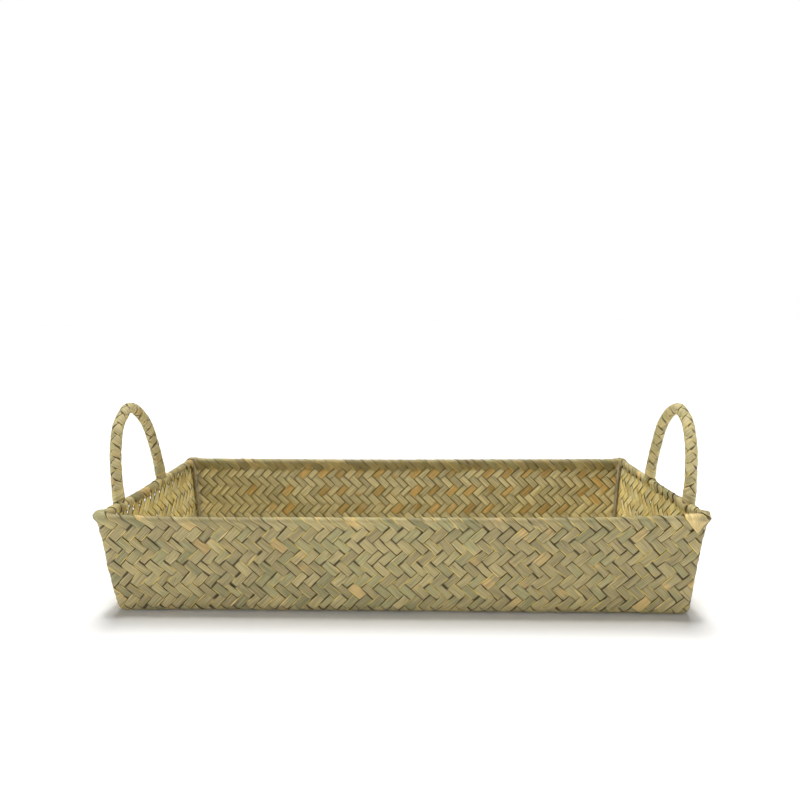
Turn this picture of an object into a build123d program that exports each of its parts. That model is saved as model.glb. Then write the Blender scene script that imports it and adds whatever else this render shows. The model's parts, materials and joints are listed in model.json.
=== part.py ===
from build123d import *
import math
import os

os.makedirs("parts", exist_ok=True)

# Bread basket: an open tray plaited from flat seagrass strips over a steel wire frame, with an arched
# handle looped round the rim wire at each end. Millimetres, +Z up, +X along the length, -Y to the front.
# The origin is the middle of the underside. Walls lean out, so every outline is a rounded rectangle
# that grows with height.

# Driving dimensions
RIM_LENGTH = 364.0          # over the rim, end to end
RIM_WIDTH = 144.0           # over the rim, front to back
HEIGHT = 64.0               # floor to the top of the rim
BASE_LENGTH = 351.0         # over the walls at the floor
BASE_WIDTH = 131.0
WALL = 2.0                  # two crossing layers of plaited strip
FOLD = 1.1                  # strips folded over the rim wire
FOLD_DEPTH = 9.0            # how far the folded strips reach down from the rim wire's axis
WIRE_DIAMETER = 2.5         # rim, base and corner wires
SOFT_GAP = 0.15             # between straw and wire
WELD_GAP = 0.02             # between wires that lie side by side at a weld
RIM_CORNER = 5.5            # corner radius over the rim
BASE_CORNER = 3.5           # corner radius over the walls at the floor
BASE_EDGE = 1.5             # rounding where the walls turn in under the floor
LEAST_CORNER = 0.3          # corner radius kept on layers inside a bend

HANDLE_SPAN = 58.5          # between the two feet
HANDLE_RISE = {-1: 60.0, 1: 57.5}   # left and right, rim wire's axis to the top of the centre line
HANDLE_MIDDLE = -16.0       # the handles sit in front of the middle of the ends
HANDLE_LEAN = 4.5           # degrees outwards from upright, at rest
HANDLE_WIRE = 2.2           # diameter
WRAP_DIAMETER = 6.6         # over the straw wrapping
EYE_WIDTH = 2.4             # along the rim wire
EYE_RUNNING_GAP = 0.08      # round the rim wire
EYE_THICKNESS = 2.2
LASHING = 0.8               # straw wound over the rim beside each foot
LASHING_LENGTH = 7.5        # along the rim, on each side of the foot
LASHING_DEPTH = 6.5         # how far it reaches down from the rim wire's axis

# Values that follow
WIRE_RADIUS = WIRE_DIAMETER / 2
FOLD_INNER = WIRE_RADIUS + SOFT_GAP
FOLD_OUTER = FOLD_INNER + FOLD
AXIS_Z = HEIGHT - FOLD_OUTER                                # the rim wire's axis
TRAY_TOP = AXIS_Z - WIRE_RADIUS - SOFT_GAP
HALF_WALL = WALL / 2
EYE_BORE = WIRE_RADIUS + EYE_RUNNING_GAP
EYE_OUTER = EYE_BORE + EYE_THICKNESS
FOOT_SLOT = EYE_WIDTH + 1.2                                 # room for an eye in the fold and the wall
FOOT_SLOT_BOTTOM = AXIS_Z - EYE_OUTER - 0.5
WRAP_START = EYE_OUTER + 0.3                                # the wrapping begins just clear of the eye
HINGE_X = RIM_LENGTH / 2 - FOLD_OUTER
BASE_WIRE_Z = WALL + SOFT_GAP + WIRE_RADIUS
LASHING_INNER = FOLD_OUTER + 0.1
LASHING_START = WRAP_DIAMETER / 2 + 0.6                     # from the foot's middle


def wall_outline(z, outwards):
    """(length, width, corner radius) of the wall's middle surface at height z, moved outwards."""
    share = z / AXIS_Z
    length = (BASE_LENGTH - WALL) * (1 - share) + (RIM_LENGTH - 2 * FOLD_OUTER) * share
    width = (BASE_WIDTH - WALL) * (1 - share) + (RIM_WIDTH - 2 * FOLD_OUTER) * share
    radius = (BASE_CORNER - HALF_WALL) * (1 - share) + (RIM_CORNER - FOLD_OUTER) * share
    return length + 2 * outwards, width + 2 * outwards, max(radius + outwards, LEAST_CORNER)


def wall_block(low, high, outwards):
    """The solid between two heights, bounded by the wall's middle surface moved outwards."""
    sections = []
    for z in (low, high):
        length, width, radius = wall_outline(z, outwards)
        sections.append(Pos(0, 0, z) * RectangleRounded(length, width, radius))
    return loft(sections, ruled=True)


def wall_layer(low, high, inner, outer):
    """The part of the leaning wall between two distances from its middle surface."""
    return wall_block(low, high, outer) - wall_block(low, high, inner)


def rim_path():
    """The rim wire's axis: a closed rounded rectangle."""
    length, width, radius = wall_outline(AXIS_Z, 0)
    return Pos(0, 0, AXIS_Z) * RectangleRounded(length, width, radius).wire()


def round_bar(path, diameter):
    """A round bar swept along a path."""
    return sweep(Plane(path @ 0, z_dir=path % 0) * Circle(diameter / 2), path=path)


def foot_places():
    """(side, y) of the four places where a handle's foot loops round the rim wire."""
    return [(side, HANDLE_MIDDLE + end * HANDLE_SPAN / 2) for side in (-1, 1) for end in (-1, 1)]


def foot_slots(bottom):
    """The room cut for the four eyes, down to a height."""
    slots = []
    for side, y in foot_places():
        depth = HEIGHT + 1 - bottom
        slot = Box(4 * FOLD_OUTER, FOOT_SLOT, depth)
        slots.append(Pos(side * HINGE_X, y, bottom + depth / 2) * slot)
    return slots


def woven_tray():
    """The plaited tray: a floor and four leaning walls, open at the top."""
    outer = wall_block(0, TRAY_TOP, HALF_WALL)
    floor_edges = outer.edges().group_by(Axis.Z)[0]
    outer = fillet(floor_edges, BASE_EDGE)
    hollow = wall_block(WALL, TRAY_TOP + 1, -HALF_WALL)
    tray = outer - hollow
    for slot in foot_slots(FOOT_SLOT_BOTTOM):
        tray -= slot
    return tray


def rim_fold(posts):
    """Strip ends folded over the rim wire and down both faces of the wall, notched for eyes and posts."""
    low = AXIS_Z - FOLD_DEPTH
    fold = wall_layer(low, AXIS_Z, FOLD_INNER, FOLD_OUTER)
    fold += wall_layer(low, AXIS_Z, -FOLD_OUTER, -FOLD_INNER)
    path = rim_path()
    start = Plane(path @ 0, z_dir=path % 0)
    ring = Circle(FOLD_OUTER) - Circle(FOLD_INNER)
    tube = sweep(start * ring, path=path)
    below = Pos(0, 0, AXIS_Z - HEIGHT / 2) * Box(2 * RIM_LENGTH, 2 * RIM_WIDTH, HEIGHT)
    fold += tube - below
    for slot in foot_slots(FOOT_SLOT_BOTTOM):
        fold -= slot
    for post in posts:
        fold -= post
    return fold


def post_line(side, front, top):
    """A corner post's axis, from the inside of the floor up beside the rim wire to the height top."""
    ends = []
    for z, inwards in (
        (BASE_WIRE_Z - WIRE_RADIUS / 2, HALF_WALL + SOFT_GAP + WIRE_RADIUS),
        (top, WIRE_DIAMETER + WELD_GAP),
    ):
        length, width, radius = wall_outline(z, 0)
        reach = (radius - inwards) * math.sqrt(0.5)
        ends.append((side * (length / 2 - radius + reach), front * (width / 2 - radius + reach), z))
    return Line(*ends)


def base_wire():
    """The closed wire inside the foot of the walls, welded to the inner side of the posts."""
    corner_reach = HALF_WALL + SOFT_GAP + WIRE_DIAMETER + 2 * WELD_GAP + WIRE_RADIUS
    inwards = corner_reach * math.sqrt(0.5)
    length, width, radius = wall_outline(BASE_WIRE_Z, 0)
    length -= 2 * inwards
    width -= 2 * inwards
    path = Pos(0, 0, BASE_WIRE_Z) * RectangleRounded(length, width, radius).wire()
    return round_bar(path, WIRE_DIAMETER)


def place_handle(shape, side):
    """Leans a handle outwards about the rim wire and moves it from the hinge to its end of the tray."""
    return Pos(side * HINGE_X, HANDLE_MIDDLE, AXIS_Z) * Rot(0, side * HANDLE_LEAN, 0) * shape


def handle_curve(rise):
    """The arch's centre line: half an ellipse, upright over the hinge axis, which lies along Y."""
    start = EYE_BORE + EYE_THICKNESS / 2
    points = []
    for angle in range(0, 181, 30):
        turn = math.radians(angle)
        along = -HANDLE_SPAN / 2 * math.cos(turn)
        points.append((0, along, start + (rise - start) * math.sin(turn)))
    return Spline(*points, tangents=[(0, 0, 1), (0, 0, -1)])


def handle_wire(rise):
    """The arch of wire with an eye at each foot."""
    wire = round_bar(handle_curve(rise), HANDLE_WIRE)
    for end in (-1, 1):
        eye = Cylinder(EYE_OUTER, EYE_WIDTH)
        eye = fillet(eye.edges().filter_by(GeomType.CIRCLE), EYE_WIDTH / 4)
        wire += Pos(0, end * HANDLE_SPAN / 2, 0) * Rot(90, 0, 0) * eye
    for end in (-1, 1):
        bore = Cylinder(EYE_BORE, 2 * EYE_WIDTH)
        wire -= Pos(0, end * HANDLE_SPAN / 2, 0) * Rot(90, 0, 0) * bore
    return wire


def handle_wrap(rise):
    """The straw strips wound round the arch, as one sleeve that stays clear of the wire."""
    curve = handle_curve(rise)
    sleeve = round_bar(curve, WRAP_DIAMETER) - round_bar(curve, HANDLE_WIRE + 2 * SOFT_GAP)
    feet = Pos(0, 0, WRAP_START - HEIGHT / 2) * Box(HEIGHT, 2 * HANDLE_SPAN, HEIGHT)
    return sleeve - feet


def foot_lashing(side, y):
    """Straw wound over the rim on both sides of a handle's foot, which keeps the eye in its place."""
    low = AXIS_Z - LASHING_DEPTH
    outer = LASHING_INNER + LASHING
    saddle = wall_layer(low, AXIS_Z, LASHING_INNER, outer)
    saddle += wall_layer(low, AXIS_Z, -outer, -LASHING_INNER)
    arch = Cylinder(outer, RIM_WIDTH) - Cylinder(LASHING_INNER, RIM_WIDTH)
    arch = Rot(90, 0, 0) * arch
    arch -= Pos(0, 0, -HEIGHT / 2) * Box(HEIGHT, 2 * RIM_WIDTH, HEIGHT)
    saddle += Pos(side * HINGE_X, 0, AXIS_Z) * arch
    pieces = []
    for end in (-1, 1):
        middle = y + end * (LASHING_START + LASHING_LENGTH / 2)
        window = Pos(side * HINGE_X, middle, AXIS_Z) * Box(8 * FOLD_OUTER, LASHING_LENGTH, HEIGHT)
        pieces.append(saddle & window)
    return pieces


def write(name, shapes):
    """Writes one sub-part, made of one or more separate solids."""
    solids = [solid for shape in shapes for solid in shape.solids()]
    export_step(Compound(children=solids) if len(solids) > 1 else solids[0], f"parts/{name}.step")


def main():
    corners = {
        "front_left": (-1, -1),
        "front_right": (1, -1),
        "back_left": (-1, 1),
        "back_right": (1, 1),
    }
    post_slots = []
    for name, (side, front) in corners.items():
        write(f"corner_post_{name}", [round_bar(post_line(side, front, AXIS_Z), WIRE_DIAMETER)])
        slot_line = post_line(side, front, AXIS_Z + SOFT_GAP)
        post_slots.append(round_bar(slot_line, WIRE_DIAMETER + 2 * SOFT_GAP))
    write("woven_tray", [woven_tray()])
    write("rim_fold", [rim_fold(post_slots)])
    write("rim_wire", [round_bar(rim_path(), WIRE_DIAMETER)])
    write("base_wire", [base_wire()])
    for name, side in (("left", -1), ("right", 1)):
        write(f"handle_{name}_wire", [place_handle(handle_wire(HANDLE_RISE[side]), side)])
        write(f"handle_{name}_wrap", [place_handle(handle_wrap(HANDLE_RISE[side]), side)])
    for side, y in foot_places():
        name = "left" if side < 0 else "right"
        place = "front" if y < HANDLE_MIDDLE else "back"
        write(f"foot_lashing_{name}_{place}", foot_lashing(side, y))


main()
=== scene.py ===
import json
import math

import bpy
import numpy as np
from mathutils import Matrix, Vector


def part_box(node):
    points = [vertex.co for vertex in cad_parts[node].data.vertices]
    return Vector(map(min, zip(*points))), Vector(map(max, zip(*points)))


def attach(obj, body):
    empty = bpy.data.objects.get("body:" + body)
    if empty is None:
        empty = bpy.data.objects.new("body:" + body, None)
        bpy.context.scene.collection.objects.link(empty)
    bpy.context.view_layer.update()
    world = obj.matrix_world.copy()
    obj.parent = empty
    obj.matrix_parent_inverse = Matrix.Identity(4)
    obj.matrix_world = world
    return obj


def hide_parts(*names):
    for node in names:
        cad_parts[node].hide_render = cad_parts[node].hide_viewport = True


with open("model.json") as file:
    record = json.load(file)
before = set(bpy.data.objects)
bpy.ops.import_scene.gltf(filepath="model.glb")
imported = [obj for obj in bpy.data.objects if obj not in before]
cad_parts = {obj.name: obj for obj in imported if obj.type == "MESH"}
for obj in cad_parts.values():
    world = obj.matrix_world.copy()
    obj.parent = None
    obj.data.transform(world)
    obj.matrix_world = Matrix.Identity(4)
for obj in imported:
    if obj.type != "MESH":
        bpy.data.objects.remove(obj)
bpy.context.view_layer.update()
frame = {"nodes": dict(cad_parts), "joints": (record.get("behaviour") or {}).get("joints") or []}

# Bread basket. Every strip of the plait is modelled on its own: 128 slanting ribbons that run from the
# rim down one wall, across the floor and up another wall. Sizes here are in millimetres, measured in the
# frame's own axes, and MM turns them into Blender's metres.
MM = 0.001


def box_mm(node):
    """Lowest and highest corner of a CAD node, in millimetres."""
    low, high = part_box(node)
    return np.array(low) / MM, np.array(high) / MM


# The sheet that the strips follow, from the rim wire and the base wire
RIM_LOW, RIM_HIGH = box_mm("rim_wire")
WIRE_RADIUS = (RIM_HIGH[2] - RIM_LOW[2]) / 2
RIM_Z = (RIM_HIGH[2] + RIM_LOW[2]) / 2  # the rim wire's axis
RIM_HALF = RIM_HIGH[:2] - WIRE_RADIUS  # half the length and width between the axes
BASE_LOW, BASE_HIGH = box_mm("base_wire")
BASE_WIRE_Z = (BASE_LOW[2] + BASE_HIGH[2]) / 2
WIRE_TO_WALL = 2.243            # base wire's outer side to the wall's middle
LEAN = (RIM_HALF - BASE_HIGH[:2] - WIRE_TO_WALL) / (RIM_Z - BASE_WIRE_Z)
BASE_HALF = RIM_HALF - LEAN * RIM_Z
RIM_BEND = 3.0                  # corner radius of the sheet at the rim
BASE_BEND = 2.5                 # and at the floor
LEAST_BEND = 0.5                # kept on the inner side of a corner
FLOOR_Z = 1.05                  # middle of the floor's two layers
EDGE_BEND = 2.7                 # where the floor turns up into the walls
EDGE_HALF = EDGE_BEND * math.pi / 4  # half the length of that bend

# The plait
LONG = 46                       # strips along a long wall, in each direction
SHORT = 18                      # and along an end wall
ROUND = 2 * (LONG + SHORT)
BANDS = 8                       # rows of the herringbone, floor to rim wire
BAND = (RIM_Z - FLOOR_Z - EDGE_BEND + EDGE_HALF) / BANDS
SPACING = BAND / math.sqrt(2)   # between neighbouring strips, square to them
SLANT = BAND * math.sqrt(2)     # a strip's length while it crosses one band
GRID_PER_MM = 1 / SLANT         # grid steps each way for 1 mm square to a strip
FILL = 0.985                    # share of its place that a strip fills
UNEVEN = 0.15                   # how far the border of two strips may shift
STRIP_THICKNESS = 0.45
STRIP_CROWN = 0.12
WEAVE_DEPTH = 0.42              # how far a strip rides in and out
STEPS = 8                       # ribbon segments in a band
FLOOR_LINING = 0.6              # share of the inner tones on the floor
FLOOR_END = 0.3                 # and of the end walls' own tones in those
EDGE_FADE = 0.6                 # bands over which floor and wall are joined up

# The strip ends folded over the rim wire
ROLL = 1.85                     # radius of a folded strip's middle
ROLL_RUN = math.pi * ROLL / BAND  # bands used up going over the wire
TAIL = 0.85                     # bands that a folded end reaches down inside
END_TAIL_SHARE = 0.45           # but less on the end walls
TUCK = 7.78                     # where the unfolded strips end, in bands
TAIL_LIFT = 1.45
CORNER_BUMP = 2.3               # the fold is raised over each corner post
CORNER_REACH = 5.0
FAR_BUMP_SHARE = 0.6            # but less over the far ones
FRONT_SAG = 0.3                 # the front rim hangs a little between its corners
SAG_REACH = 90.0
RIM_RAISE = 1.3                 # the posts push three rim corners up
RAISE_AT = {"front left": (0, 28.0), "front right": (LONG, 45.0), "back left": (2 * LONG + SHORT, 90.0)}
CORNER_FLARE = 1.5              # the corners stand out a little at the top
RIGHT_FLARE_SHARE = 0.45        # but less at the right end
FLARE_REACH = 7.0
LEFT_BELLY = 0.9                # the left corners stand out at half height too
RIGHT_PINCH = 0.3               # and the right ones stand in there
BELLY_REACH = 16.0
FRONT_LIFT = 0.6                # the floor's front edge is a little off the table
LIFT_REACH = 3.0                # strips over which that fades inwards
LIFT_START = 5                  # strips over which it sets in from each corner
WALL_WAVES = ((0.30, 5, 1.0), (0.22, 11, 2.1), (0.12, 23, 0.0))  # size, waves round the basket, phase

SIDE_START = np.array([0, LONG, LONG + SHORT, 2 * LONG + SHORT])
SIDE_COUNT = np.array([LONG, SHORT, LONG, SHORT])
SIDE_ALONG = np.array([[1, 0], [0, 1], [-1, 0], [0, -1]], float)
SIDE_OUT = np.array([[0, -1], [1, 0], [0, 1], [-1, 0]], float)

dice = np.random.default_rng(20)


def smooth(value, low, high):
    """0 below low and 1 above high, eased in between."""
    share = np.clip((value - low) / (high - low), 0, 1)
    return share * share * (3 - 2 * share)


def drift(run, size, length):
    """A slow random wander along a strip, of about this size and wave length."""
    total = np.zeros_like(run)
    for part in (1.0, 0.53):
        total += part * np.sin(run * 2 * np.pi / (length * part) + dice.uniform(0, 2 * np.pi))
    return total * size / 1.5


# ------------ the sheet
def outline(s, z, out):
    """Point round the walls, s strips from the front left corner, at height z and moved outwards."""
    s = np.mod(s, ROUND)
    side = np.searchsorted(SIDE_START, s, side="right") - 1
    share = 2 * (s - SIDE_START[side]) / SIDE_COUNT[side] - 1
    radius = BASE_BEND + (RIM_BEND - BASE_BEND) * z / RIM_Z
    half = BASE_HALF + z[:, None] * LEAN
    long_side = side % 2 == 0
    own = np.where(long_side, half[:, 0], half[:, 1])
    other = np.where(long_side, half[:, 1], half[:, 0])
    straight = own - radius
    run = share * (straight + radius * math.pi / 4)
    turn = np.sign(run) * np.maximum(np.abs(run) - straight, 0) / radius
    bend = np.maximum(radius + out, LEAST_BEND)
    reach = own + out - bend
    along = np.clip(run, -reach, reach) + bend * np.sin(turn)
    across = other + out - bend + bend * np.cos(turn)
    return along[:, None] * SIDE_ALONG[side] + across[:, None] * SIDE_OUT[side]


def to_corner(s):
    """Millimetres along the rim from the nearest corner."""
    corners = np.append(SIDE_START, ROUND)
    return np.min(np.abs(np.mod(s, ROUND)[:, None] - corners), axis=1) * BAND


def on_end(s):
    """1 on the two end walls and 0 on the long ones."""
    s = np.mod(s, ROUND)
    return ((s > LONG) & (s < LONG + SHORT)) | (s > 2 * LONG + SHORT)


def half_way_up(q):
    """1 half way up a wall, falling off to 0 at the floor and at the rim."""
    return np.sin(np.pi * np.clip(q / BANDS, 0, 1))


def unevenness(s, q):
    """The walls of a plaited basket are never quite flat."""
    turn = 2 * np.pi * s / ROUND
    waves = sum(size * np.sin(number * turn + phase) for size, number, phase in WALL_WAVES)
    return waves * half_way_up(q)


def corner_swell(s, q):
    """How far the corners of a wall stand out of its straight line."""
    near = np.exp(-(to_corner(s) / FLARE_REACH) ** 2)
    flare = near * CORNER_FLARE * smooth(q, BANDS - 2.5, BANDS - 0.2)
    flare = flare * (1 - smooth(q, BANDS, BANDS + ROLL_RUN / 2))
    around = np.mod(s, ROUND)
    left = (around < LONG / 2) | (around > LONG * 1.5 + SHORT)
    belly = np.exp(-(to_corner(s) / BELLY_REACH) ** 2) * half_way_up(q)
    return np.where(left, flare + LEFT_BELLY * belly, RIGHT_FLARE_SHARE * flare - RIGHT_PINCH * belly)


def front_lift(along, inward):
    """How far the floor's front edge is off the table, that many strips along it and behind it."""
    from_end = np.minimum(along, LONG - along)
    return FRONT_LIFT * smooth(from_end, 0, LIFT_START) * (1 - smooth(inward, 0, LIFT_REACH))


def rim_raise(s):
    """How far the rim is pushed up near the corners, fading out with the distance from each."""
    total = np.zeros_like(s)
    for corner, reach in RAISE_AT.values():
        gap = np.abs(np.mod(s - corner + ROUND / 2, ROUND) - ROUND / 2) * BAND
        total = total + RIM_RAISE * np.exp(-(gap / reach) ** 2)
    return total


def on_wall(s, q, away):
    """A point of a wall: s strips round, q bands up, away outwards. Above BANDS it goes over the wire."""
    climb = np.minimum(q, BANDS) * BAND
    turn = np.clip((EDGE_HALF - climb) / (2 * EDGE_HALF), 0, 1) * math.pi / 2
    z = FLOOR_Z + EDGE_BEND * (1 - np.sin(turn)) + np.maximum(climb - EDGE_HALF, 0)
    over = np.clip((q - BANDS) / ROLL_RUN, 0, 1) * math.pi
    z = z - np.maximum(q - BANDS - ROLL_RUN, 0) * BAND
    level = z
    away = away + unevenness(s, q) + corner_swell(s, q)
    out = away * np.cos(turn) * np.cos(over) - EDGE_BEND * (1 - np.cos(turn))
    up = away * (np.sin(over) - np.sin(turn))
    around = np.mod(s, ROUND)
    sag = np.where(around < LONG, smooth(to_corner(s), 0, SAG_REACH), 0) * FRONT_SAG
    z = z + up + (rim_raise(s) - sag) * np.clip(q / BANDS, 0, 1) ** 2
    z = z + np.where(around < LONG, front_lift(around, 0) * (1 - np.clip(q / BANDS, 0, 1)), 0)
    return np.column_stack([outline(s, level, out), z])


def floor_line(place, count, half):
    """One coordinate on the floor: position, rise and outward lean, place strips from one edge."""
    unit = 2 * (half - EDGE_BEND + EDGE_HALF) / count
    inside = np.minimum(place, count - place) * unit
    side = np.where(place < count / 2, -1, 1)
    turn = np.clip((EDGE_HALF + inside) / (2 * EDGE_HALF), 0, 1) * math.pi / 2
    inward = EDGE_BEND * (1 - np.cos(turn)) + np.maximum(inside - EDGE_HALF, 0)
    return side * (half - inward), EDGE_BEND * (1 - np.sin(turn)), side * np.cos(turn)


def on_floor(a, b, away):
    """A point of the floor: a strips from the left edge, b strips from the front edge."""
    x, rise_x, lean_x = floor_line(a, LONG, BASE_HALF[0])
    y, rise_y, lean_y = floor_line(b, SHORT, BASE_HALF[1])
    down = np.sqrt(np.maximum(1 - lean_x ** 2 - lean_y ** 2, 0))
    z = FLOOR_Z + rise_x + rise_y - away * down + front_lift(a, b)
    return np.column_stack([x + away * lean_x, y + away * lean_y, z])


def wall_place(edge, a, b):
    """The (s, q) on a wall of the point (a, b) of the floor's grid carried on past that edge."""
    if edge == "front":
        return a, -b
    if edge == "right":
        return LONG + b, a - LONG
    if edge == "back":
        return 2 * LONG + SHORT - a, b - SHORT
    return ROUND - b, -a


def edge_point(edge, a, b):
    """The point of the floor's edge that is nearest to (a, b), as grid coordinates."""
    if edge in ("front", "back"):
        return a, np.full_like(b, 0 if edge == "front" else SHORT)
    return np.full_like(a, 0 if edge == "left" else LONG), b


def edge_shift(edge, a, b):
    """How far the wall's foot lies from the floor's straight edge, which differs at the corners."""
    edge_a, edge_b = edge_point(edge, a, b)
    s, q = wall_place(edge, edge_a, edge_b)
    none = np.zeros_like(s)
    return on_wall(s, q, none) - on_floor(edge_a, edge_b, none)


def float_wave(q):
    """A strip goes over two and under two of those that cross it: 1 outside, -1 inside."""
    turn = np.mod(q, 2.0)
    wave = np.where(turn < 0.5, -np.cos(2 * np.pi * turn), 1.0)
    wave = np.where((turn >= 1.0) & (turn < 1.5), np.cos(2 * np.pi * (turn - 1.0)), wave)
    return np.where(turn >= 1.5, -1.0, wave)


# ------------ ribbons
SECTION_ACROSS = np.array([-1, -0.88, 0, 0.88, 1, 0.84, 0, -0.84])
SECTION_TOP = np.array([1, 1, 1, 1, 1, 0, 0, 0])
SECTION_EDGE = np.array([0.45, 1, 1, 1, 0.45, 1, 1, 1])  # the upper edges are thinned off


def section_heights(thickness, crown):
    """Height of each section point over the ribbon's middle."""
    bow = crown * (1 - SECTION_ACROSS ** 2)
    top = SECTION_EDGE * thickness / 2 + bow
    bottom = -thickness / 2 + bow * 0.6
    return np.where(SECTION_TOP == 1, top, bottom)


class Bundle:
    """Ribbons gathered into one mesh, with what the straw material reads at each point."""

    def __init__(self):
        self.points = []
        self.faces = []
        self.straw = []
        self.place = []
        self.count = 0

    def add(self, locate, run, half_width, thickness, crown, twist, strand, place):
        """One ribbon. locate(across, height) gives a row of points for a section point all along it."""
        heights = section_heights(thickness, crown)
        rows = []
        marks = []
        places = []
        for across, height, top in zip(SECTION_ACROSS, heights, SECTION_TOP):
            rows.append(locate(across * half_width, height + across * twist))
            marks.append(np.column_stack([run, np.full_like(run, across), np.full_like(run, strand)]))
            places.append(place(top))
        size = len(SECTION_ACROSS)
        self.points.append(np.stack(rows, axis=1).reshape(-1, 3))
        self.straw.append(np.stack(marks, axis=1).reshape(-1, 3))
        self.place.append(np.stack(places, axis=1).reshape(-1, 3))
        rings = len(run)
        first = self.count + size * np.arange(rings - 1)
        for j in range(size):
            k = (j + 1) % size
            quads = np.column_stack([first + j, first + k, first + size + k, first + size + j])
            self.faces.extend(quads.tolist())
        start = self.count + np.arange(size)
        self.faces.append(start[::-1].tolist())
        self.faces.append((start + size * (rings - 1)).tolist())
        self.count += size * rings

    def make(self, name, material, body, slot_name):
        """The finished object, riding on its body."""
        mesh = bpy.data.meshes.new(name)
        points = np.concatenate(self.points) * MM
        mesh.from_pydata(points.tolist(), [], self.faces)
        for label, rows in (("straw", self.straw), ("place", self.place)):
            attribute = mesh.attributes.new(label, "FLOAT_VECTOR", "POINT")
            attribute.data.foreach_set("vector", np.concatenate(rows).ravel().astype(np.float32))
        mesh.shade_smooth()
        mesh.materials.append(material)
        piece = bpy.data.objects.new(name, mesh)
        bpy.context.scene.collection.objects.link(piece)
        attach(piece, body)
        return piece


# ------------ the plaited strips
def strip_route(family, c):
    """(start a, start b, direction a, direction b, floor length, first edge, last edge) of a strip."""
    if family == "rising":
        first = "front" if c < LONG else "right"
        start = (c, 0.0) if c < LONG else (float(LONG), c - LONG)
        last = "left" if c < SHORT else "back"
        end_a = 0.0 if c < SHORT else c - SHORT
        return start, (-1, 1), start[0] - end_a, first, last
    first = "front" if c >= 0 else "left"
    start = (c, 0.0) if c >= 0 else (0.0, -c)
    last = "back" if c <= LONG - SHORT else "right"
    end_a = c + SHORT if c <= LONG - SHORT else float(LONG)
    return start, (1, 1), end_a - start[0], first, last


def slant(family, edge):
    """1 where a strip climbs towards larger s on that wall, -1 where it climbs the other way."""
    along_front = edge in ("front", "back")
    return 1 if (family == "rising") == along_front else -1


def fold_lift(s, q, lift):
    """Lift of a strip that is folded over the rim wire, bulging over the corner posts."""
    over = smooth(q, BANDS - 0.2, BANDS + ROLL_RUN * 0.6)
    around = np.mod(s, ROUND)
    near = (around < LONG + SHORT / 2) | (around > ROUND - SHORT / 2)
    bump = CORNER_BUMP * np.exp(-(to_corner(s) / CORNER_REACH) ** 2)
    bump = bump * over * np.where(near, 1.0, FAR_BUMP_SHARE)
    lift = lift + (ROLL - lift) * smooth(q, BANDS - 0.5, BANDS)
    tail = smooth(q, BANDS + ROLL_RUN, BANDS + ROLL_RUN + TAIL)
    return lift + (TAIL_LIFT - ROLL) * tail + bump


def gap_row(s, q, most):
    """Strips are pulled narrow just under the fold, which leaves a row of small gaps."""
    near = smooth(q, BANDS - 1.05, BANDS - 0.7) * (1 - smooth(q, BANDS - 0.25, BANDS - 0.05))
    return 1 - near * np.where(on_end(s), most, dice.uniform(0.0, 0.1))


def strip_ends(family, start, way, floor_length, edges):
    """How many bands the strip runs on past each edge of the floor."""
    far = (start[0] + way[0] * floor_length, start[1] + way[1] * floor_length)
    ends = []
    for edge, foot in zip(edges, (start, far)):
        if slant(family, edge) > 0:
            ends.append(TUCK)
            continue
        s_edge, _ = wall_place(edge, *foot)
        short_tail = on_end(np.array([s_edge - BANDS - ROLL_RUN]))[0]
        tail = TAIL * END_TAIL_SHARE if short_tail else TAIL
        ends.append(BANDS + ROLL_RUN + tail * dice.uniform(0.85, 1.1))
    return ends


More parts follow.
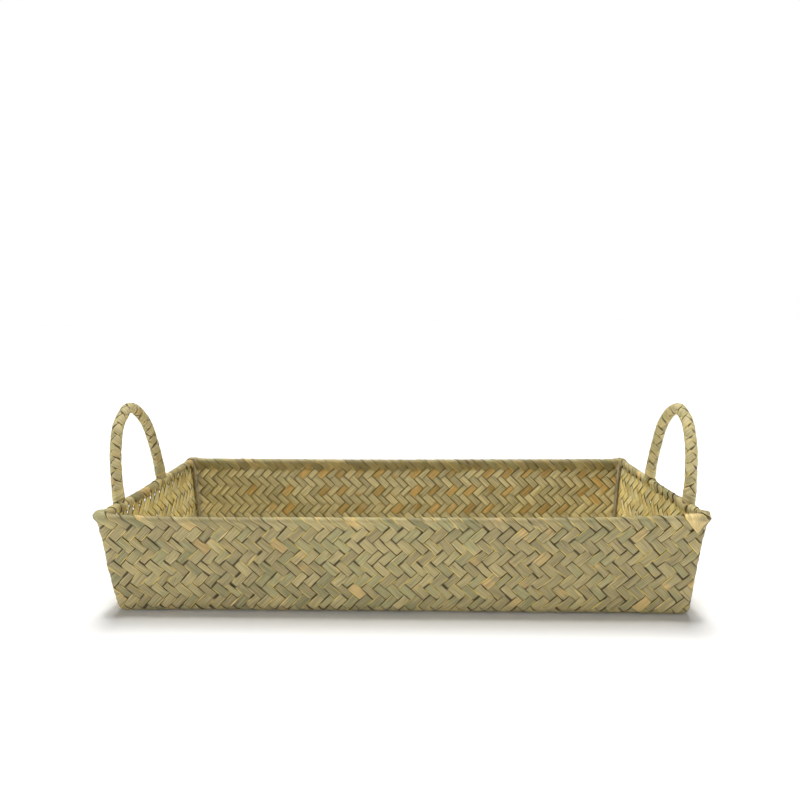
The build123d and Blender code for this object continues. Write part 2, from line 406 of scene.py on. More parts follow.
class Strip:
    """One strip of the plait from rim to rim, as rows of values at every step along it."""

    def __init__(self, family, c, share):
        """share is the strip's width, as a share of the room for one strip."""
        self.family = family
        start, way, self.floor_length, self.first, self.last = strip_route(family, c)
        ends = strip_ends(family, start, way, self.floor_length, (self.first, self.last))
        count = int(round((self.floor_length + sum(ends)) * STEPS)) + 1
        self.run = np.linspace(-ends[0], self.floor_length + ends[1], count)
        self.a = start[0] + way[0] * self.run
        self.b = start[1] + way[1] * self.run
        past_last = self.run - self.floor_length
        self.walls = ((self.first, self.run < 0, -self.run), (self.last, past_last > 0, past_last))
        self.float_in_and_out()
        self.wander = drift(self.run, 0.10, 9.0) + drift(self.run, 0.05, 2.3)
        self.half_width = SPACING / 2 * FILL * share + drift(self.run, 0.06, 7.0)
        self.twist = drift(self.run, 0.11, 2.7) + drift(self.run, 0.07, 1.1)
        self.height_wander = drift(self.run, 0.04, 3.3)
        self.shape_at_rim()

    def float_in_and_out(self):
        """How far the strip rides out of the sheet, and how much of its outer face is bare."""
        near_end = smooth(np.abs(self.a - LONG / 2), LONG / 2 - 0.5, LONG / 2)
        floor_wave = (1 - near_end) * float_wave(-self.b) + near_end
        self.lift = (1 if self.family == "rising" else -1) * WEAVE_DEPTH * floor_wave
        climbed = np.zeros_like(self.run)
        for edge, mask, climb in self.walls:
            wave = slant(self.family, edge) * WEAVE_DEPTH * float_wave(climb)
            self.lift = np.where(mask, wave, self.lift)
            climbed = np.where(mask, climb, climbed)
        # bare: how much of the outer face shows; the material paints shade where it is low
        bare = np.clip(0.5 + self.lift / WEAVE_DEPTH / 2, 0, 1)
        self.bare = np.maximum(bare, smooth(climbed, BANDS - 0.5, BANDS - 0.1))

    def shape_at_rim(self):
        """Narrows the strip just under the fold, and widens and tilts it where it goes over the wire."""
        rim_width = dice.uniform(0.97, 1.08)
        rim_tilt = dice.uniform(0.04, 0.24)
        for edge, mask, _ in self.walls:
            s, q = wall_place(edge, self.a, self.b)
            folded = slant(self.family, edge) < 0
            most = dice.choice([0.03, 0.3], p=[0.88, 0.12]) if folded else dice.uniform(0.15, 0.55)
            self.half_width = np.where(mask, self.half_width * gap_row(s, q, most), self.half_width)
            if folded:
                in_fold = smooth(q, BANDS - 0.9, BANDS - 0.4)
                wider = self.half_width * (1 + (rim_width - 1) * in_fold)
                self.half_width = np.where(mask, wider, self.half_width)
                self.twist = np.where(mask, self.twist + rim_tilt * in_fold, self.twist)

    def locate(self, across, height):
        """The points of one line of the strip's section, this far across it and this high over it."""
        sideways = (across + self.wander) * GRID_PER_MM
        spot_a = self.a - sideways
        spot_b = self.b - sideways if self.family == "rising" else self.b + sideways
        points = on_floor(spot_a, spot_b, self.lift + height + self.height_wander)
        share = np.clip(self.run / max(self.floor_length, 0.01), 0, 1)
        nearness = ((self.first, self.run, 1 - share), (self.last, self.floor_length - self.run, share))
        for edge, depth, part in nearness:
            fade = np.exp(-np.maximum(depth, 0) / EDGE_FADE) * part
            points = points + fade[:, None] * edge_shift(edge, spot_a, spot_b)
        for edge, mask, _ in self.walls:
            s, q = wall_place(edge, spot_a, spot_b)
            lift = fold_lift(s, q, self.lift) if slant(self.family, edge) < 0 else self.lift
            wall = on_wall(s, q, lift + height + self.height_wander)
            points = np.where(mask[:, None], wall, points)
        return points

    def place(self, top):
        """What the straw material reads: how far inside, on an end wall and bare each point is."""
        end = np.full_like(self.run, FLOOR_END)
        on_walls = np.zeros_like(self.run, bool)
        for edge, mask, _ in self.walls:
            s, _ = wall_place(edge, self.a, self.b)
            end = np.where(mask, on_end(s), end)
            on_walls = on_walls | mask
        inside = np.where(on_walls, 1.0, FLOOR_LINING) * (1 - top)
        return np.column_stack([inside, end, self.bare if top else 1 - self.bare])


def weave(material):
    """All 128 strips, shared out over eight pieces of interleaved strips."""
    pieces = []
    groups = 4                  # pieces in each direction
    starts = {"rising": 0.5, "falling": 0.5 - SHORT}
    for family, low in starts.items():
        bundles = [Bundle() for _ in range(groups)]
        borders = np.arange(LONG + SHORT + 1) - 0.5 + dice.uniform(-UNEVEN, UNEVEN, LONG + SHORT + 1)
        for i in range(LONG + SHORT):
            strand = i + (0 if family == "rising" else ROUND)
            strip = Strip(family, low + (borders[i] + borders[i + 1]) / 2, borders[i + 1] - borders[i])
            bundles[i % groups].add(strip.locate, strip.run * SLANT, strip.half_width, STRIP_THICKNESS,
                                    STRIP_CROWN, strip.twist, strand, strip.place)
        for number, bundle in enumerate(bundles, 1):
            pieces.append(bundle.make(f"strips_{family}_{number}", material, "basket", "seagrass_weave"))
    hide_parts("woven_tray", "rim_fold")
    return pieces


# ------------ extra straw on the walls
LOOSE_CROWN = 0.05
SLIVERS = 120
RISING_SLIVERS = 0.4            # share of them that lie along rising strips
TOP_SLIVERS = 0.4               # share of the others that lie just under the fold
SLIVER_LIFT = WEAVE_DEPTH + 0.24
SLIVER_BOW = 0.12               # their middles stand off this much more
SLIVER_THICKNESS = 0.16
FLAP_FROM_CORNER = 0.55         # strips from the corner to the flap's point
FLAP_SKEW = 0.25                # and how much further its wide end lies
FLAP_START = BANDS - 1.1        # the flap's point
FLAP_END = BANDS + ROLL_RUN + 0.5  # and its wide end, inside
FLAP_OUT = 0.3                  # how far it lies over the folded strips
FLAP_THICKNESS = 0.4
FLAP_POINT = 0.35               # half width at its point
FLAP_SPREAD = 6.3               # and how much that grows by
FLAP_LINING = 0.45              # share of the inner tones on it


def wall_ribbon(bundle, s, q, way, half_width, lift, thickness, strand, inside=0.0):
    """A loose ribbon on a wall along the points (s, q). way is 1 rising, -1 falling, 0 straight up."""
    sideways = {1: (GRID_PER_MM, -GRID_PER_MM), -1: (GRID_PER_MM, GRID_PER_MM), 0: (1 / BAND, 0.0)}
    side_s, side_q = sideways[way]

    def locate(across, height):
        return on_wall(s + across * side_s, q + across * side_q, lift + height)

    def place(top):
        end = on_end(s).astype(float)
        return np.column_stack([np.full_like(s, inside), end, np.ones_like(s)])

    run = np.linspace(0, (len(s) - 1) * BAND / STEPS, len(s))
    bundle.add(locate, run, half_width, thickness, LOOSE_CROWN, np.zeros_like(s), strand, place)


def slivers(material):
    """Split-off fibres that lie along the edges of strips."""
    bundle = Bundle()
    for number in range(SLIVERS):
        way = 1 if dice.random() < RISING_SLIVERS else -1
        band = dice.integers(0, BANDS // 2) * 2 + (0.25 if way > 0 else 1.25)
        if way < 0 and dice.random() < TOP_SLIVERS:
            band = BANDS - 0.75
        s_edge = dice.integers(0, ROUND) + dice.uniform(-0.12, 0.12)
        q = np.linspace(band + 0.05, band + dice.uniform(0.8, 1.0), 8)
        q = np.minimum(q, BANDS - 0.1)
        s = s_edge + way * q
        shape = np.sin(np.linspace(0.15, math.pi - 0.15, len(q)))
        lift = SLIVER_LIFT + SLIVER_BOW * shape
        half_width = dice.uniform(0.25, 0.5) * shape + 0.05
        wall_ribbon(bundle, s, q, way, half_width, lift, SLIVER_THICKNESS, 400 + number)
    return bundle.make("loose_slivers", material, "basket", "seagrass_weave")


def corner_flap(material):
    """A wide strip end folded over the rim beside the front right corner, drawn to a point."""
    bundle = Bundle()
    q = np.linspace(FLAP_START, FLAP_END, 30)
    grown = np.clip((q - FLAP_START) / (BANDS + 0.1 - FLAP_START), 0, 1)
    s = LONG - FLAP_FROM_CORNER - FLAP_SKEW * grown
    half_width = FLAP_POINT + FLAP_SPREAD * grown
    lift = fold_lift(s, q, np.full_like(q, 0.95)) + FLAP_OUT
    wall_ribbon(bundle, s, q, 0, half_width, lift, FLAP_THICKNESS, 611, FLAP_LINING)
    return bundle.make("corner_flap", material, "basket", "seagrass_weave")


# ------------ handles
EYE_WIDTH = 2.4                 # the eye at a handle's foot, along the rim wire
EYE_MIDDLE = 2.43               # from the rim wire's axis to the middle of its ring
WRAP_RADIUS = 3.3
BRAID_RADIUS = 3.05             # middle of the plaited strands
BRAID_PITCH = 14.5
BRAID_DEPTH = 0.28
BRAID_THICKNESS = 0.36
BRAID_CROWN = 0.06
BRAID_SPACING_SHARE = 0.5       # two strands each way
BRAID_FILL = 0.97               # share of its place that a strand fills
BRAID_MARGIN = 0.2              # kept clear at both ends of the arch
BINDING_GAP = 0.3               # from the foot to the strip that binds it off
BINDING_RUN = 8.5
BINDING_PITCH = 7.4
BINDING_WIDTH = 6.0
BINDING_OUT = 0.42
FOOT_RADIUS = 3.6               # straw round the eye of the handle's wire
COLLAR_RADIUS = 3.1             # the lower turns beside it
FOOT_TURNS = (                  # offset, slope, middle radius, half width
    (-1.35, 0.5, FOOT_RADIUS, 1.45),
    (1.35, 0.5, FOOT_RADIUS, 1.45),
    (-2.85, 0.0, COLLAR_RADIUS, 0.85),
    (2.85, 0.0, COLLAR_RADIUS, 0.85),
)
WHISKERS = (                    # share of the handle's length, angle, length
    (0.36, 1.3, 2.2),
    (0.62, 0.4, 1.6),
    (0.75, 2.6, 1.8),
    (0.47, 1.9, 1.4),
)
LASHING_START = 4.4             # from the foot's middle, clear of the leg
LASHING_TURNS = 2
LASHING_REACH = 0.45            # bands that they reach down both faces
LASHING_SLANT = 0.45
LASHING_EASE = 0.4
LASHING_OUT = 0.42
LASHING_THICKNESS = 0.3
LASHING_FILL = 0.97


def outer_straw(run, bare=1.0):
    """What the straw material reads on a ribbon that is not inside the basket."""
    return np.column_stack([np.zeros_like(run), np.zeros_like(run), np.full_like(run, bare)])


class Arch:
    """The centre line of one handle, from its front foot to its back foot."""

    def __init__(self, side_name):
        self.side = -1 if side_name == "left" else 1
        joint = next(j for j in frame["joints"] if j["child"] == f"handle_{side_name}")
        self.hinge = np.array(joint["pos_m"]) / MM
        low, high = box_mm(f"handle_{side_name}_wire")
        self.span = high[1] - low[1] - EYE_WIDTH
        wrap_low, wrap_high = box_mm(f"handle_{side_name}_wrap")
        outer = wrap_high[0] if self.side > 0 else wrap_low[0]
        top = np.array([outer - self.side * WRAP_RADIUS, self.hinge[1], wrap_high[2] - WRAP_RADIUS])
        reach = top - self.hinge
        self.rise = np.linalg.norm(reach)
        self.up = reach / self.rise
        turn = np.linspace(0, math.pi, 721)
        self.forward = np.array([0.0, 1.0, 0.0])
        share = turn / math.pi
        points = self.hinge - np.outer(np.cos(turn) * self.span / 2, self.forward)
        points = points + np.outer(drift(share, 0.55, 0.43) * np.sin(turn), self.forward)
        points = points + np.outer(drift(share, 0.45, 0.31) * np.sin(turn), [1.0, 0.0, 0.0])
        points = points + np.outer(EYE_MIDDLE + (self.rise - EYE_MIDDLE) * np.sin(turn), self.up)
        steps = np.linalg.norm(np.diff(points, axis=0), axis=1)
        self.distance = np.concatenate([[0], np.cumsum(steps)])
        self.points = points
        tangents = np.gradient(points, self.distance, axis=0)
        self.tangents = tangents / np.linalg.norm(tangents, axis=1)[:, None]
        self.length = self.distance[-1]

    def at(self, along):
        """Centre point and the two cross directions at a distance from the front foot."""
        centre = np.column_stack([np.interp(along, self.distance, self.points[:, i]) for i in range(3)])
        ahead = np.column_stack([np.interp(along, self.distance, self.tangents[:, i]) for i in range(3)])
        ahead /= np.linalg.norm(ahead, axis=1)[:, None]
        flat = np.cross(self.up, self.forward)
        outward = np.cross(np.broadcast_to(flat, ahead.shape), ahead)
        across = np.cross(outward, ahead)
        return centre, across, outward

    def surface(self, along, angle, radius):
        """A point on the handle, round its centre line."""
        centre, across, outward = self.at(along)
        spread = np.cos(angle)[:, None] * across + np.sin(angle)[:, None] * outward
        return centre + radius[:, None] * spread


def wound_strip(bundle, arch, along, phase, hand, pitch, middle, width, strand, wave=None):
    """A flat strip wound round a handle, hand 1 or -1, with an optional in-and-out wave."""
    tilt = math.atan2(2 * math.pi * BRAID_RADIUS, pitch)
    angle = hand * 2 * math.pi * along / pitch + phase
    lift = np.zeros_like(along) if wave is None else wave
    half_width = width / 2 + drift(along, 0.18, 23.0)
    wander = drift(along, 0.3, 31.0)

    def locate(across, height):
        across = across + wander
        place_along = along - hand * math.sin(tilt) * across
        place_angle = angle + math.cos(tilt) * across / BRAID_RADIUS
        inside = np.clip(place_along, 0, arch.length)
        return arch.surface(inside, place_angle, middle + lift + height)

    def place(top):
        # the strand's bare share, which the material turns into painted shade where it dives under
        # another strand
        return outer_straw(along, 1.0 if wave is None else np.clip(0.5 + wave / BRAID_DEPTH / 2, 0, 1))

    run = along / math.cos(tilt)
    twist = drift(along, 0.08, 9.0)
    bundle.add(locate, run, half_width, BRAID_THICKNESS, BRAID_CROWN, twist, strand, place)


def foot_ring(bundle, arch, end, strand):
    """Straw wound round the eye at a handle's foot, with a lower turn on each side of it."""
    y = arch.hinge[1] + end * arch.span / 2
    out = np.array([arch.side, 0.0, 0.0])
    angle = np.linspace(0.1, 2 * math.pi - 0.1, 44)
    for turn_number, (offset, slope, middle, half_width) in enumerate(FOOT_TURNS):
        shift = offset + slope * np.sin(angle / 2)

        def locate(across, height):
            radius = middle + height + 0.1 * np.cos(angle)
            points = np.outer(np.sin(angle) * radius, out)
            points[:, 2] += np.cos(angle) * radius + arch.hinge[2]
            points[:, 0] += arch.hinge[0]
            points[:, 1] = y - (across + shift) * arch.side
            return points

        def place(top):
            return outer_straw(angle)

        bundle.add(locate, angle * 3.0, np.full_like(angle, half_width), 0.4, 0.08,
                   np.zeros_like(angle), strand + turn_number, place)


def whisker(bundle, arch, along, angle, length, strand):
    """A loose fibre that stands off the handle."""
    share = np.linspace(0, 1, 7)
    place_along = along + length * 0.35 * share
    radius = WRAP_RADIUS - 0.3 + length * share ** 1.3

    def locate(across, height):
        turn = angle + 0.25 * share + across / BRAID_RADIUS
        return arch.surface(place_along, turn, radius + height)

    def place(top):
        return outer_straw(share)

    bundle.add(locate, share * length, 0.22 * (1 - share) + 0.04, 0.14, 0.0,
               np.zeros_like(share), strand, place)


def handle(side_name, material):
    """Four flat strands plaited round the wire, bound off with a wound strip at each foot."""
    arch = Arch(side_name)
    bundle = Bundle()
    seed = 700 if arch.side < 0 else 800
    along = np.linspace(BRAID_MARGIN, arch.length - BRAID_MARGIN, 260)
    tilt = math.atan2(2 * math.pi * BRAID_RADIUS, BRAID_PITCH)
    width = BRAID_PITCH * BRAID_SPACING_SHARE * math.sin(tilt) * BRAID_FILL
    beat = np.cos(4 * math.pi * along / BRAID_PITCH)
    beat = np.sign(beat) * np.abs(beat) ** 0.6  # long flat floats and quick crossings
    strands = [(hand, turn) for hand in (1, -1) for turn in (0, 1)]
    for number, (hand, turn) in enumerate(strands):
        phase = math.pi / 4 + turn * math.pi
        wound_strip(bundle, arch, along, phase, hand, BRAID_PITCH, BRAID_RADIUS, width,
                    seed + number, hand * BRAID_DEPTH * beat)
    for end, low in ((-1, BINDING_GAP), (1, arch.length - BINDING_RUN - BINDING_GAP)):
        reach = np.linspace(low, low + BINDING_RUN, 50)
        wound_strip(bundle, arch, reach, 0.8, -arch.side, BINDING_PITCH, BRAID_RADIUS + BINDING_OUT,
                    BINDING_WIDTH, seed + 20 + end)
        foot_ring(bundle, arch, end, seed + 30 + 3 * end)
    for share, angle, length in WHISKERS:
        whisker(bundle, arch, share * arch.length, angle, length, seed + 50)
    piece = bundle.make(f"handle_{side_name}_braid", material, f"handle_{side_name}", "seagrass_wrap")
    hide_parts(f"handle_{side_name}_wrap")
    return piece


def lashing(side_name, place_name, material):
    """Two turns of straw over the rim on each side of a handle's foot."""
    low, high = box_mm(f"foot_lashing_{side_name}_{place_name}")
    middle = (low[1] + high[1]) / 2
    half = (high[1] - low[1]) / 2
    bundle = Bundle()
    side = -1 if side_name == "left" else 1
    rim_pitch = 2 * RIM_HALF[1] / SHORT
    strand = 900 + 10 * side + (0 if place_name == "front" else 5)
    width = (half - LASHING_START) / LASHING_TURNS
    for end in (-1, 1):
        for turn in range(LASHING_TURNS):
            y = middle + end * (LASHING_START + width * (turn + 0.5))
            s_middle = LONG + SHORT / 2 + y / rim_pitch
            if side < 0:
                s_middle = ROUND - SHORT / 2 - y / rim_pitch
            q = np.linspace(BANDS - LASHING_REACH, BANDS + ROLL_RUN + LASHING_REACH, 30)
            s = np.full_like(q, s_middle) - LASHING_SLANT * (q - BANDS - ROLL_RUN / 2)
            rise = smooth(q, q[0], q[0] + LASHING_EASE) * (1 - smooth(q, q[-1] - LASHING_EASE, q[-1]))
            lift = fold_lift(s, q, np.full_like(q, 0.5)) + LASHING_OUT * rise
            half_width = np.full_like(q, width / 2 * LASHING_FILL)
            wall_ribbon(bundle, s, q, 0, half_width, lift, LASHING_THICKNESS, strand + turn)
    piece = bundle.make(f"lashing_{side_name}_{place_name}", material, "basket", "seagrass_wrap")
    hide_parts(f"foot_lashing_{side_name}_{place_name}")
    return piece


# ------------ materials
def linear(red, green, blue):
    """A colour given as 0 to 255 display values, in Blender's linear ones."""
    values = []
    for value in (red, green, blue):
        share = value / 255
        values.append(share / 12.92 if share <= 0.04045 else ((share + 0.055) / 1.055) ** 2.4)
    return (*values, 1.0)


NOISE_LOW = 0.3                 # Blender's noise seldom leaves this range
NOISE_HIGH = 0.7
FIBRE_RELIEF = 0.35 * MM
WIRE_RELIEF = 0.1 * MM


class Graph:
    """A short way to write node trees."""

    def __init__(self, name):
        self.material = bpy.data.materials.new(name)
        self.material.use_nodes = True
        self.nodes = self.material.node_tree.nodes
        self.links = self.material.node_tree.links
        self.shader = self.nodes["Principled BSDF"]

    def put(self, socket, value):
        """Links a socket, or sets its value."""
        if isinstance(value, bpy.types.NodeSocket):
            self.links.new(value, socket)
        elif value is not None:
            socket.default_value = value

    def math(self, kind, first, second=None, clamp=False):
        node = self.nodes.new("ShaderNodeMath")
        node.operation = kind
        node.use_clamp = clamp
        self.put(node.inputs[0], first)
        self.put(node.inputs[1], second)
        return node.outputs[0]

    def span(self, value, low, high, to_low=0.0, to_high=1.0):
        """Maps low..high to a new range, eased."""
        node = self.nodes.new("ShaderNodeMapRange")
        node.interpolation_type = "SMOOTHSTEP"
        self.put(node.inputs["Value"], value)
        node.inputs["From Min"].default_value = low
        node.inputs["From Max"].default_value = high
        node.inputs["To Min"].default_value = to_low
        node.inputs["To Max"].default_value = to_high
        return node.outputs["Result"]

    def attribute(self, name):
        node = self.nodes.new("ShaderNodeAttribute")
        node.attribute_name = name
        split = self.nodes.new("ShaderNodeSeparateXYZ")
        self.links.new(node.outputs["Vector"], split.inputs[0])
        return split.outputs

    def vector(self, x, y, z):
        node = self.nodes.new("ShaderNodeCombineXYZ")
        for socket, value in zip(node.inputs, (x, y, z)):
            self.put(socket, value)
        return node.outputs[0]

    def noise(self, vector, scale, detail=2.0):
        node = self.nodes.new("ShaderNodeTexNoise")
        self.put(node.inputs["Vector"], vector)
        node.inputs["Scale"].default_value = scale
        node.inputs["Detail"].default_value = detail
        return node.outputs["Fac"]

    def mix(self, share, first, second, kind="MIX"):
        node = self.nodes.new("ShaderNodeMix")
        node.data_type = "RGBA"
        node.blend_type = kind
        self.put(node.inputs[0], share)
        self.put(node.inputs[6], first)
        self.put(node.inputs[7], second)
        return node.outputs[2]

    def shade(self, tone, noise, darkest, lightest):
        """Darkens and lightens a colour by a noise."""
        level = self.span(noise, NOISE_LOW, NOISE_HIGH, darkest, lightest)
        return self.mix(1.0, tone, self.vector(level, level, level), "MULTIPLY")

    def bump(self, height, distance, strength=1.0):
        node = self.nodes.new("ShaderNodeBump")
        self.put(node.inputs["Height"], height)
        node.inputs["Distance"].default_value = distance
        node.inputs["Strength"].default_value = strength
        return node.outputs["Normal"]


class Straw(Graph):
    """The nodes of split seagrass, which read what a Bundle stores at each point."""

    def __init__(self, name, colours):
        super().__init__(name)
        self.colours = colours
        self.run, self.across, self.strand = self.attribute("straw")
        self.inside, self.end, self.bare = self.attribute("place")
        self.key = self.math("MULTIPLY", self.strand, 7.31)  # gives every strip its own noise

    def along(self, length, lane, detail=0.0):
        """Noise that changes along a strip, over about this many millimetres."""
        place = self.vector(self.math("MULTIPLY", self.run, 1 / length), self.key, lane)
        return self.noise(place, 1.0, detail)

    def fibres(self, across_scale, along_scale, lane, scale, detail):
        """Noise that is packed across a strip and drawn out along it."""
        shift = self.math("ADD", self.math("MULTIPLY", self.across, across_scale), self.key)
        place = self.vector(self.math("MULTIPLY", self.run, along_scale), shift, lane)
        return self.noise(place, scale, detail)

    def base_tone(self, tan_from):
        """Khaki, green and tan stretches on the outside, and the warmer tones of the inside, which are
        also lightened as painted light.
        """
        colours = self.colours
        slow = self.along(38, 0.0, 1.0)
        quick = self.along(11, 3.0, 1.0)
        mixed = self.math("ADD", self.math("MULTIPLY", slow, 0.72), self.math("MULTIPLY", quick, 0.28))
        tone = self.mix(self.span(mixed, 0.50, 0.40), colours["khaki"], colours["green"])
        tone = self.mix(self.span(mixed, tan_from, tan_from + 0.05), tone, colours["tan"])
        # inside the end walls: yellow and pale straw, with rust stretches
        warm = self.mix(self.span(quick, 0.45, 0.62), colours["yellow"], colours["straw"])
        warm = self.mix(self.span(quick, 0.42, 0.36, 0.0, 0.7), warm, colours["rust"])
        # inside the long walls: cream, with rust stretches on every second falling strip
        odd = self.math("MODULO", self.strand, 2.0)
        second = self.math("MULTIPLY", odd, self.math("GREATER_THAN", self.strand, ROUND - 0.5))
        rusty = self.math("MULTIPLY", second, self.span(slow, 0.42, 0.50))
        plain = self.mix(rusty, colours["cream"], colours["rust"])
        # the inner tones are the straw's own warmer colours and also painted light: lightened because
        # less light reaches the inside
        lightened_lining = self.mix(self.end, plain, warm)
        return self.mix(self.math("MULTIPLY", self.inside, 0.8), tone, lightened_lining)

    def split_line(self):
        """1 on the dark lines along which some stretches are split."""
        split_at = self.along(60, 12.0)
        offset = self.math("SUBTRACT", self.across, self.span(split_at, NOISE_LOW, NOISE_HIGH, -0.8, 0.8))
        line = self.math("ABSOLUTE", offset)
        chosen = self.span(self.along(14, 21.0), 0.52, 0.58)
        return self.math("MULTIPLY", self.span(line, 0.07, 0.02), chosen)

    def edges_and_painted_gap_shade(self, tone):
        """Pale and dark edges, and painted shade where a strip dives under another."""
        colours = self.colours
        rim = self.span(self.math("ABSOLUTE", self.across), 0.80, 0.90)
        place = self.vector(self.math("MULTIPLY", self.run, 1 / 9),
                            self.math("ADD", self.key, self.across), 30.0)
        choice = self.noise(place, 1.0, 0.0)
        pale = self.math("MULTIPLY", rim, self.span(choice, 0.50, 0.56, 0, 0.85))
        tone = self.mix(pale, tone, colours["pale"])
        dark = self.math("MULTIPLY", rim, self.span(choice, 0.49, 0.43, 0, 0.7))
        tone = self.mix(dark, tone, colours["dark"])
        # painted shade: the colour goes dark where the strip's outer face is covered by the strips
        # crossing it, less on its inner face
        painted_shade = self.span(self.bare, 0.50, 0.63, 0.85, 0.0)
        depth = self.math("MULTIPLY", painted_shade, self.span(self.inside, 0.0, 1.0, 1.0, 0.4))
        return self.mix(depth, tone, colours["dark"])


def straw_material(name, colours, tan_from):
    """Split seagrass: long fibres, slow changes of colour along each strip, and pale or dark edges."""
    g = Straw(name, colours)
    tone = g.base_tone(tan_from)
    own = g.noise(g.vector(g.key, 1.7, 0.0), 3.7, 0.0)
    tone = g.shade(tone, own, 0.84, 1.16)
    broad = g.fibres(2.6, 0.035, 5.0, 1.6, 2.0)
    tone = g.shade(tone, broad, 0.78, 1.18)
    fine = g.fibres(11.0, 0.09, 8.0, 1.5, 3.0)
    tone = g.shade(tone, fine, 0.80, 1.16)
    dark_line = g.split_line()
    tone = g.mix(g.math("MULTIPLY", dark_line, 0.55), tone, colours["dark"])
    g.put(g.shader.inputs["Base Color"], g.edges_and_painted_gap_shade(tone))
    g.put(g.shader.inputs["Roughness"], g.span(fine, NOISE_LOW, NOISE_HIGH, 0.62, 0.48))
    g.shader.inputs["Specular IOR Level"].default_value = 0.32
    g.shader.inputs["Sheen Weight"].default_value = 0.06
    g.shader.inputs["Sheen Roughness"].default_value = 0.4
    relief = g.math("ADD", g.math("MULTIPLY", fine, 0.6), g.math("MULTIPLY", broad, 0.6))
    relief = g.math("SUBTRACT", relief, g.math("MULTIPLY", dark_line, 0.4))
    g.put(g.shader.inputs["Normal"], g.bump(relief, FIBRE_RELIEF, 0.7))
    return g.material


def wire_material(name, colour, worn):
    """Dull lacquered wire with a little uneven wear."""
    g = Graph(name)
    place = g.nodes.new("ShaderNodeTexCoord").outputs["Object"]
    cloud = g.noise(place, 160.0, 4.0)
    speck = g.noise(place, 1400.0, 2.0)
    tone = g.mix(g.span(cloud, 0.40, 0.65), colour, worn)
    tone = g.shade(tone, speck, 0.85, 1.1)
    g.put(g.shader.inputs["Base Color"], tone)
    g.shader.inputs["Metallic"].default_value = 0.25
    g.put(g.shader.inputs["Roughness"], g.span(cloud, 0.35, 0.7, 0.38, 0.6))
    g.put(g.shader.inputs["Normal"], g.bump(speck, WIRE_RELIEF, 0.5))
    return g.material


# The inner tones, yellow to rust, are lighter than they look, because less light reaches the inside
WEAVE_COLOURS = {
    "khaki": linear(176, 161, 114),
    "green": linear(163, 155, 110),
    "tan": linear(202, 174, 116),
    "yellow": linear(255, 234, 152),
    "straw": linear(255, 243, 188),
    "cream": linear(250, 240, 196),
    "rust": linear(240, 206, 138),
    "pale": linear(238, 212, 118),
    # dark: the dark edges and split lines, and also the colour of the painted shade where a strip dives
    # under another
    "dark": linear(66, 54, 30),
}
SLIVER_COLOURS = dict(
    WEAVE_COLOURS,
    khaki=linear(216, 196, 140),
    green=linear(218, 198, 118),
    tan=linear(222, 197, 140),
)
WRAP_COLOURS = dict(
    WEAVE_COLOURS,
    khaki=linear(206, 191, 140),
    green=linear(194, 183, 132),
    tan=linear(212, 186, 128),
)


# ------------ studio
ROOM_LIGHT = 0.06
SUNS = (                        # name, direction, spread in degrees, strength
    ("straight_down", (0.0, 0.0, -1.0), 5, 0.95),
    ("overhead", (0.0, -0.24, -1.0), 25, 2.5),
    ("from_left", (1.0, 0.38, -0.08), 42, 2.3),
    ("from_right", (-1.0, 0.38, -0.08), 42, 1.65),
)
FLOOR_HALF = 60.0               # metres, so that its edges are never seen
CAMERA_PLACE = (14.4, -385.2, 176.7)  # millimetres
CAMERA_DOWN = 7.88              # degrees below level
CAMERA_TURN = -2.14             # degrees to the right of straight ahead
CAMERA_ROLL = -0.64
CAMERA_LENS = 25.12             # millimetres
CAMERA_SENSOR = 36              # its width
CAMERA_FOCUS = 0.345            # metres, just behind the front wall
CAMERA_STOP = 14.0
NEAREST_SEEN = 0.01             # metres
PIXEL_BLUR = 1.1                # width of the filter over each pixel


def studio_floor():
    """A plain white floor."""
    mesh = bpy.data.meshes.new("studio_floor")
    corners = [(x * FLOOR_HALF, y * FLOOR_HALF, 0) for x, y in ((-1, -1), (1, -1), (1, 1), (-1, 1))]
    mesh.from_pydata(corners, [], [(0, 1, 2, 3)])
    g = Graph("studio_white")
    g.shader.inputs["Base Color"].default_value = (0.95, 0.95, 0.95, 1)
    g.shader.inputs["Roughness"].default_value = 0.9
    g.shader.inputs["Specular IOR Level"].default_value = 0.1
    mesh.materials.append(g.material)
    floor = bpy.data.objects.new("studio_floor", mesh)
    bpy.context.scene.collection.objects.link(floor)


def soft_sun(name, direction, spread, strength):
    """A light from far away, pointing along a direction. A wide spread gives soft shadows."""
    data = bpy.data.lights.new(name, "SUN")
    data.angle = math.radians(spread)
    data.energy = strength
    light = bpy.data.objects.new(name, data)
    light.rotation_euler = Vector(direction).to_track_quat("-Z", "Y").to_euler()
    bpy.context.scene.collection.objects.link(light)


def lighting():
    """Pure white behind, a small and a soft light from above, and a low soft one from each side."""
    world = bpy.data.worlds.new("white_room")
    world.use_nodes = True
    nodes = world.node_tree.nodes
    background = nodes["Background"]
    background.inputs["Color"].default_value = (1, 1, 1, 1)
    seen = nodes.new("ShaderNodeLightPath").outputs["Is Camera Ray"]
    level = nodes.new("ShaderNodeMapRange")
    world.node_tree.links.new(seen, level.inputs["Value"])
    level.inputs["To Min"].default_value = ROOM_LIGHT
    level.inputs["To Max"].default_value = 1.0
    world.node_tree.links.new(level.outputs["Result"], background.inputs["Strength"])
    bpy.context.scene.world = world
    for sun in SUNS:
        soft_sun(*sun)
    bpy.context.scene.view_settings.view_transform = "Standard"
    bpy.context.scene.view_settings.look = "None"


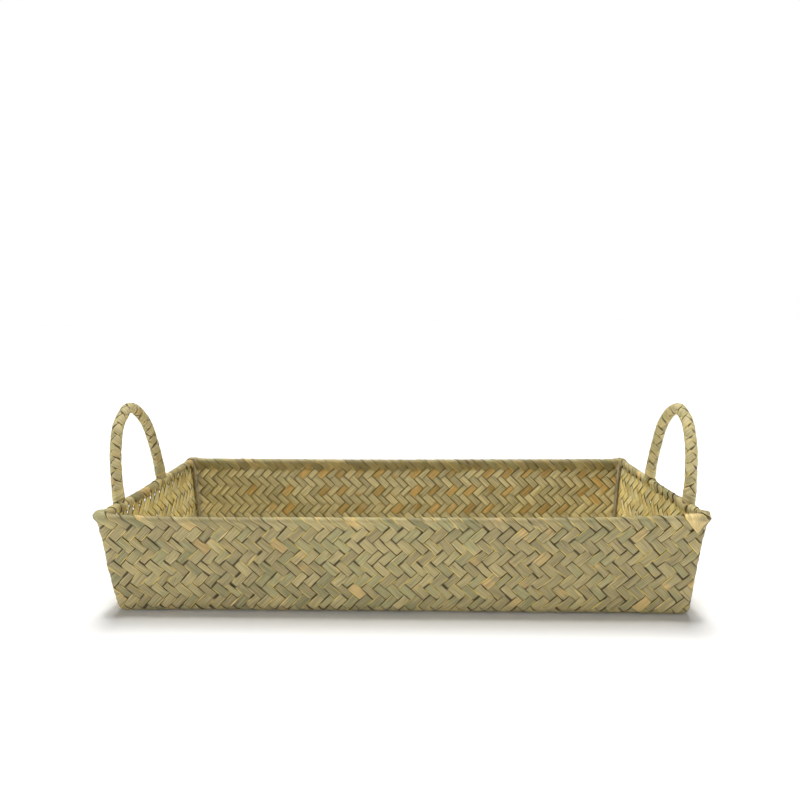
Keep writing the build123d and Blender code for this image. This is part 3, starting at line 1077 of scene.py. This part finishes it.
def camera():
    """Low in front of the basket and a little right of its middle, looking slightly down."""
    pitch = math.radians(CAMERA_DOWN)
    yaw = math.radians(CAMERA_TURN)
    roll = math.radians(CAMERA_ROLL)
    forward = Vector((math.sin(yaw) * math.cos(pitch), math.cos(yaw) * math.cos(pitch), -math.sin(pitch)))
    right = Vector((math.cos(yaw), -math.sin(yaw), 0))
    up = right.cross(forward)
    turned_right = right * math.cos(roll) + up * math.sin(roll)
    turned_up = up * math.cos(roll) - right * math.sin(roll)
    data = bpy.data.cameras.new("camera")
    data.sensor_width = CAMERA_SENSOR
    data.lens = CAMERA_LENS
    data.clip_start = NEAREST_SEEN
    data.dof.use_dof = True
    data.dof.focus_distance = CAMERA_FOCUS
    data.dof.aperture_fstop = CAMERA_STOP
    viewer = bpy.data.objects.new("camera", data)
    matrix = Matrix((turned_right, turned_up, -forward)).transposed().to_4x4()
    matrix.translation = Vector(CAMERA_PLACE) * MM
    viewer.matrix_world = matrix
    bpy.context.scene.collection.objects.link(viewer)
    bpy.context.scene.camera = viewer
    bpy.context.scene.cycles.filter_width = PIXEL_BLUR


def dress_wires():
    """The CAD wires stay as they are, in dull lacquered steel."""
    frame_wire = wire_material("frame_wire", linear(172, 163, 143), linear(146, 137, 117))
    handle_wire = wire_material("handle_wire", linear(158, 150, 134), linear(134, 126, 106))
    for name, node in frame["nodes"].items():
        if node.hide_render:
            continue
        node.data.materials.clear()
        node.data.materials.append(handle_wire if name.startswith("handle") else frame_wire)


def build():
    """The whole scene."""
    weave_straw = straw_material("seagrass_weave", WEAVE_COLOURS, 0.60)
    wrap_straw = straw_material("seagrass_wrap", WRAP_COLOURS, 0.58)
    weave(weave_straw)
    pale_straw = straw_material("seagrass_sliver", SLIVER_COLOURS, 0.50)
    slivers(pale_straw)
    corner_flap(weave_straw)
    for side_name in ("left", "right"):
        handle(side_name, wrap_straw)
        for place_name in ("front", "back"):
            lashing(side_name, place_name, wrap_straw)
    dress_wires()
    studio_floor()
    lighting()
    camera()


build()
bpy.context.view_layer.update()
